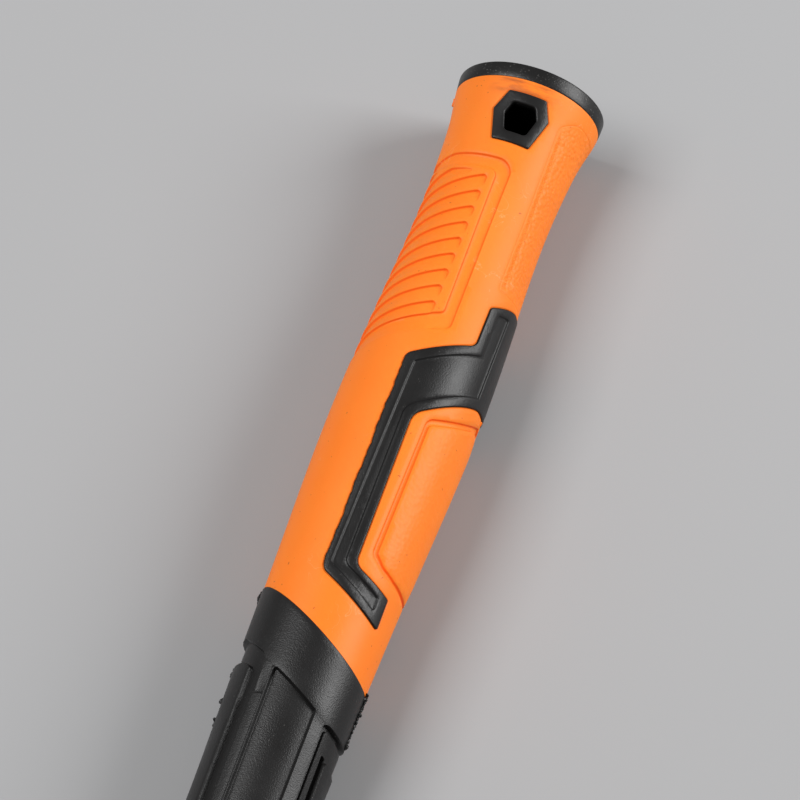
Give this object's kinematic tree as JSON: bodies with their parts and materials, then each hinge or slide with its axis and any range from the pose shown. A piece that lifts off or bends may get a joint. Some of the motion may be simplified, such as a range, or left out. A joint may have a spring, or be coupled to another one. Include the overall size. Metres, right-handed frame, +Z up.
{
  "type": "halligan bar",
  "caption": "Short rescue bar: moulded grip with a hang hole on a steel bar, with adze, pike and fork forgings pinned on its far end.",
  "frame": {"origin": "middle of the flat butt face, on the bar's axis", "axes": "+X along the bar from the butt to the fork tips, +Y towards the adze, +Z up towards the pike; the bar lies level on its side"},
  "size_m": [0.412, 0.11, 0.1092],
  "materials": {
    "bar_steel": "hexagon alloy bar, bright drawn",
    "jacket_black": "moulded black polypropylene, fine matt grain",
    "grip_orange": "moulded orange thermoplastic rubber, satin",
    "inlay_black": "moulded black plastic, fine matt border and smoother field",
    "liner_black": "moulded black plastic, satin",
    "cap_black": "moulded black plastic, satin",
    "guard_black": "moulded black thermoplastic rubber, matt",
    "head_steel": "forged steel, blackened, with ground edges",
    "fork_steel": "forged steel, blackened, with ground edges",
    "pin_steel": "rolled spring steel, plain"
  },
  "bodies": {
    "root": {"core_bar": "bar_steel", "shaft_jacket": "jacket_black", "grip_shell": "grip_orange", "grip_inlay": "inlay_black", "hang_liner": "liner_black", "butt_cap": "cap_black", "neck_guard": "guard_black", "adze_pike_head": "head_steel", "fork": "fork_steel", "head_pins": "pin_steel", "fork_pins": "pin_steel"}
  },
  "joints": []
}
